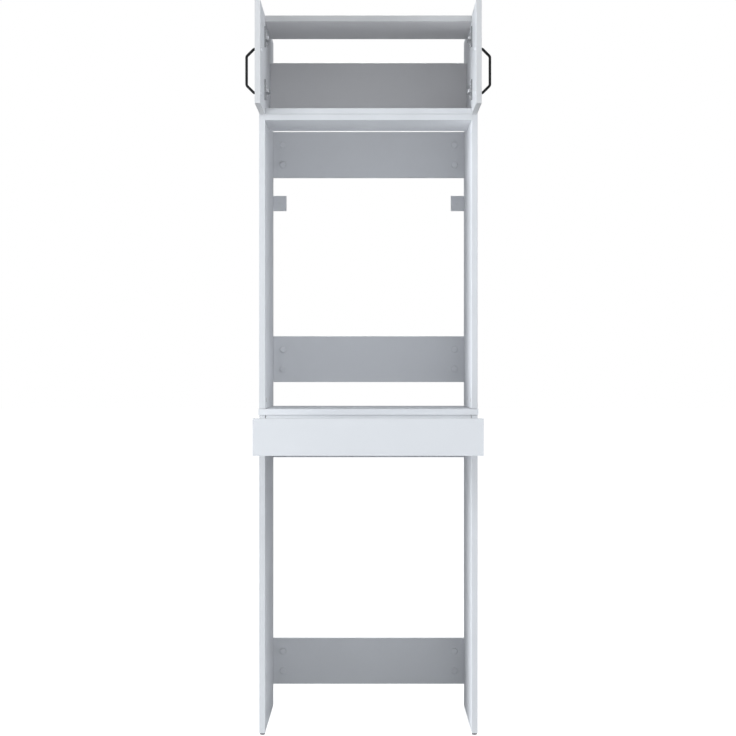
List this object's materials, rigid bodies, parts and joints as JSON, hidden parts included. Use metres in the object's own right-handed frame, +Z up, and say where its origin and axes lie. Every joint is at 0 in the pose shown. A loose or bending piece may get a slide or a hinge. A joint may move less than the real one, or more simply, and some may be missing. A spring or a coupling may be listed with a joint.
{
  "type": "washing machine cabinet",
  "caption": "Tall frame cabinet over a washing machine bay, with a drawer on telescopic slides, an open niche and a hinged-door compartment with bow handles",
  "frame": {"origin": "on the floor, in the middle of the outline that the cabinet has with its drawer pulled out", "axes": "+Z up; the cabinet's front faces -Y; +X is to the right for someone who faces its front"},
  "size_m": [0.714, 1.072, 2.175],
  "materials": {
    "white_board": "smooth white melamine",
    "black_metal": "satin black",
    "hinge_steel": "nickel-plated pressed steel",
    "slide_steel": "zinc-plated rolled steel",
    "fitting_zinc": "die-cast and zinc-plated fittings",
    "cap_plastic": "white plastic",
    "glide_plastic": "dark plastic",
    "dowel_wood": "plain beech"
  },
  "bodies": {
    "carcass": {"left_lower_side": "white_board", "right_lower_side": "white_board", "left_upper_side": "white_board", "right_upper_side": "white_board", "worktop": "white_board", "front_rail": "white_board", "top_panel": "white_board", "cabinet_floor": "white_board", "niche_top": "white_board", "cabinet_back": "white_board", "bottom_rail": "white_board", "drawer_rail": "white_board", "splash_rail": "white_board", "upper_rail": "white_board", "rail_cams": "fitting_zinc", "cam_caps": "cap_plastic", "rail_bolts": "fitting_zinc", "worktop_cams": "fitting_zinc", "worktop_bolts": "fitting_zinc", "carcass_dowels": "dowel_wood", "left_wall_cleat": "white_board", "right_wall_cleat": "white_board", "glides": "glide_plastic", "hinge_plates": "hinge_steel", "hinge_arms": "hinge_steel", "left_slide_outer": "slide_steel", "right_slide_outer": "slide_steel"},
    "left_door": {"left_door": "white_board", "left_handle": "black_metal", "left_handle_screws": "fitting_zinc", "left_hinge_cups": "hinge_steel", "left_hinge_pins": "hinge_steel"},
    "right_door": {"right_door": "white_board", "right_handle": "black_metal", "right_handle_screws": "fitting_zinc", "right_hinge_cups": "hinge_steel", "right_hinge_pins": "hinge_steel"},
    "drawer": {"drawer_front": "white_board", "left_drawer_side": "white_board", "right_drawer_side": "white_board", "drawer_dowels": "dowel_wood", "drawer_back": "white_board", "drawer_bottom": "white_board", "left_slide_inner": "slide_steel", "right_slide_inner": "slide_steel"},
    "left_slide_middle": {"left_slide_middle": "slide_steel"},
    "right_slide_middle": {"right_slide_middle": "slide_steel"}
  },
  "joints": [
    {"name": "left_door_swing", "type": "hinge", "parent": "carcass", "child": "left_door", "pos_m": [-0.323, -0.12749, 2.025], "axis": [0, 0, 1], "range_deg": [-5, 90]},
    {"name": "right_door_swing", "type": "hinge", "parent": "carcass", "child": "right_door", "pos_m": [0.323, -0.12749, 2.025], "axis": [0, 0, -1], "range_deg": [-5, 90]},
    {"name": "drawer_slide", "type": "slide", "parent": "carcass", "child": "drawer", "axis": [0, -1, 0], "range_m": [-0.402, 0.048]},
    {"name": "left_slide_extend", "type": "slide", "parent": "carcass", "child": "left_slide_middle", "axis": [0, -1, 0], "range_m": [-0.201, 0.024]},
    {"name": "right_slide_extend", "type": "slide", "parent": "carcass", "child": "right_slide_middle", "axis": [0, -1, 0], "range_m": [-0.201, 0.024]}
  ],
  "couplings": [
    {"joint": "left_slide_extend", "follows": "drawer_slide", "ratio": 0.5},
    {"joint": "right_slide_extend", "follows": "drawer_slide", "ratio": 0.5}
  ]
}
